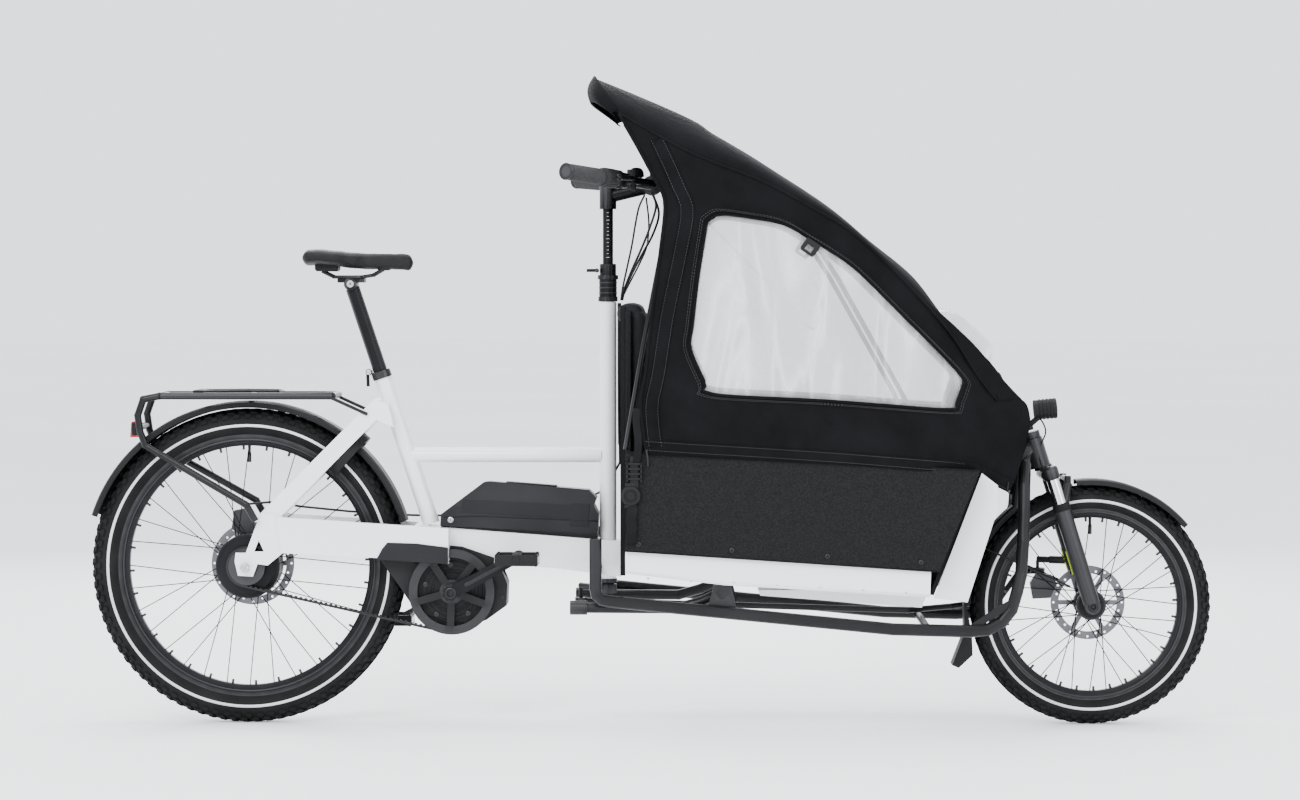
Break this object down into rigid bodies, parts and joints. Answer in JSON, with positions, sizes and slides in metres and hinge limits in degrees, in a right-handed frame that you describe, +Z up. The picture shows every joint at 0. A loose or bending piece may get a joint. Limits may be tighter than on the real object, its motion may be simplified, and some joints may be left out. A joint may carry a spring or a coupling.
{
  "type": "cargo bicycle",
  "caption": "Front-loading two-wheel cargo bicycle with a box, child canopy, belt drive, rear rack and linked front fork.",
  "frame": {"origin": "bottom centre of the object's box, on the ground in the mid plane", "axes": "+X forward, +Y to the rider's left, +Z up"},
  "size_m": [2.4099, 0.6296, 1.3959],
  "materials": {
    "white_frame": "satin white paint",
    "black_frame": "satin black paint",
    "box_panel": "black textured laminate",
    "cushion": "woven cushion cover",
    "canopy_cloth": "coated woven fabric",
    "clear_film": "clear film",
    "pole": "black anodised",
    "battery_case": "moulded",
    "black_plastic": "moulded",
    "tail_lens": "red lens",
    "belt": "toothed belt",
    "caliper": "black anodised",
    "hub": "black anodised",
    "spoke": "black steel",
    "rotor": "ground steel",
    "tyre": "rubber",
    "grip": "soft rubber",
    "saddle": "synthetic leather"
  },
  "bodies": {
    "frame": {"main_beam": "white_frame", "seatstays": "white_frame", "seat_tube": "white_frame", "top_tube": "white_frame", "steering_tube": "white_frame", "head_tube": "black_frame", "side_tubes": "black_frame", "box_tray": "white_frame", "box_panels": "box_panel", "bench_cushions": "cushion", "canopy": "canopy_cloth", "canopy_windows": "clear_film", "canopy_poles": "pole", "side_straps": "canopy_cloth", "battery": "battery_case", "motor": "battery_case", "motor_covers": "battery_case", "rear_rack": "black_frame", "tail_light": "tail_lens", "rear_fender": "black_plastic", "ring_lock": "black_plastic", "drive_belt": "belt", "rear_caliper": "caliper", "frame_hardware": "black_frame", "frame_cables": "belt"},
    "steering": {"steering_column": "black_frame"},
    "handlebars": {"stem": "black_frame", "handlebar": "black_frame", "grips": "grip", "bar_controls": "black_plastic", "control_cables": "belt"},
    "column_lever": {"column_lever": "pole"},
    "brake_lever_right": {"brake_lever_right": "caliper"},
    "brake_lever_left": {"brake_lever_left": "caliper"},
    "shifter": {"shifter_grip": "grip"},
    "tie_rod": {"tie_rod": "black_frame"},
    "fork": {"fork_upper": "black_frame", "headlight": "black_plastic"},
    "fork_lowers": {"fork_lowers": "black_frame", "front_fender": "black_plastic", "front_caliper": "caliper"},
    "front_wheel": {"front_tyre": "tyre", "front_rim": "hub", "front_hub": "hub", "front_spokes": "spoke", "front_rotor": "rotor"},
    "rear_wheel": {"rear_tyre": "tyre", "rear_rim": "hub", "rear_hub": "hub", "rear_spokes": "spoke", "rear_rotor": "rotor"},
    "sprocket": {"rear_sprocket": "hub"},
    "cranks": {"crankset": "black_frame", "belt_ring": "hub"},
    "pedal_right": {"pedal_right": "black_plastic"},
    "pedal_left": {"pedal_left": "black_plastic"},
    "seat": {"seatpost": "black_frame", "saddle": "saddle"},
    "seat_lever": {"seat_lever": "pole"},
    "kickstand": {"kickstand": "black_frame"}
  },
  "joints": [
    {"name": "steering", "type": "hinge", "parent": "frame", "child": "steering", "pos_m": [-0.0905, 0, 0.6], "axis": [0, 0, 1], "range_deg": [-25, 25]},
    {"name": "stem_height", "type": "slide", "parent": "steering", "child": "handlebars", "axis": [0, 0, 1], "range_m": [-0.08, 0], "deforming": ["control_cables"]},
    {"name": "column_lever", "type": "hinge", "parent": "steering", "child": "column_lever", "pos_m": [-0.114, 0, 0.976], "axis": [0, 1, 0], "range_deg": [0, 70]},
    {"name": "brake_lever_left", "type": "hinge", "parent": "handlebars", "child": "brake_lever_left", "pos_m": [-0.03046, 0.16234, 1.16497], "axis": [0.0396, -0.0557, 0.9977], "range_deg": [0, 11], "stiffness_Nm_per_rad": 1.5},
    {"name": "brake_lever_right", "type": "hinge", "parent": "handlebars", "child": "brake_lever_right", "pos_m": [-0.03046, -0.16234, 1.16497], "axis": [-0.0396, -0.0557, -0.9977], "range_deg": [0, 11], "stiffness_Nm_per_rad": 1.5},
    {"name": "shifter_twist", "type": "hinge", "parent": "handlebars", "child": "shifter", "pos_m": [-0.08264, -0.18402, 1.16825], "axis": [-0.5776, -0.8134, 0.0684], "range_deg": [-60, 60]},
    {"name": "tie_rod_rear", "type": "hinge", "parent": "steering", "child": "tie_rod", "pos_m": [-0.1525, 0.085, 0.256], "axis": [0, 0, 1], "range_deg": [-25, 25]},
    {"name": "fork_steer", "type": "hinge", "parent": "frame", "child": "fork", "pos_m": [0.826, 0, 0.6], "axis": [-0.3007, 0, 0.9537], "range_deg": [-25, 25]},
    {"name": "fork_travel", "type": "slide", "parent": "fork", "child": "fork_lowers", "axis": [-0.3007, 0, 0.9537], "range_m": [0, 0.02], "stiffness_N_per_m": 12000, "springref_m": -0.02},
    {"name": "front_wheel_spin", "type": "hinge", "parent": "fork_lowers", "child": "front_wheel", "pos_m": [0.947, 0, 0.258], "axis": [0, 1, 0], "continuous": true},
    {"name": "rear_wheel_spin", "type": "hinge", "parent": "frame", "child": "rear_wheel", "pos_m": [-0.8655, 0, 0.3395], "axis": [0, 1, 0], "continuous": true},
    {"name": "crank_spin", "type": "hinge", "parent": "frame", "child": "cranks", "pos_m": [-0.4245, 0, 0.287], "axis": [0, 1, 0], "continuous": true},
    {"name": "sprocket_spin", "type": "hinge", "parent": "frame", "child": "sprocket", "pos_m": [-0.8655, 0, 0.3395], "axis": [0, 1, 0], "continuous": true},
    {"name": "pedal_right_spin", "type": "hinge", "parent": "cranks", "child": "pedal_right", "pos_m": [-0.27881, -0.1, 0.36446], "axis": [0, 1, 0], "continuous": true},
    {"name": "pedal_left_spin", "type": "hinge", "parent": "cranks", "child": "pedal_left", "pos_m": [-0.57019, 0.1, 0.20954], "axis": [0, 1, 0], "continuous": true},
    {"name": "seat_height", "type": "slide", "parent": "frame", "child": "seat", "axis": [-0.316, 0, 0.9487], "range_m": [-0.12, 0.02]},
    {"name": "seat_lever", "type": "hinge", "parent": "frame", "child": "seat_lever", "pos_m": [-0.606, 0, 0.757], "axis": [0, 1, 0], "range_deg": [0, 60]},
    {"name": "kickstand", "type": "hinge", "parent": "frame", "child": "kickstand", "pos_m": [0.155, 0, 0.297], "axis": [0, -1, 0], "range_deg": [0, 110]}
  ],
  "couplings": [
    {"joint": "fork_steer", "follows": "steering", "ratio": 1},
    {"joint": "tie_rod_rear", "follows": "steering", "ratio": -1},
    {"joint": "sprocket_spin", "follows": "crank_spin", "ratio": 2.0833}
  ]
}
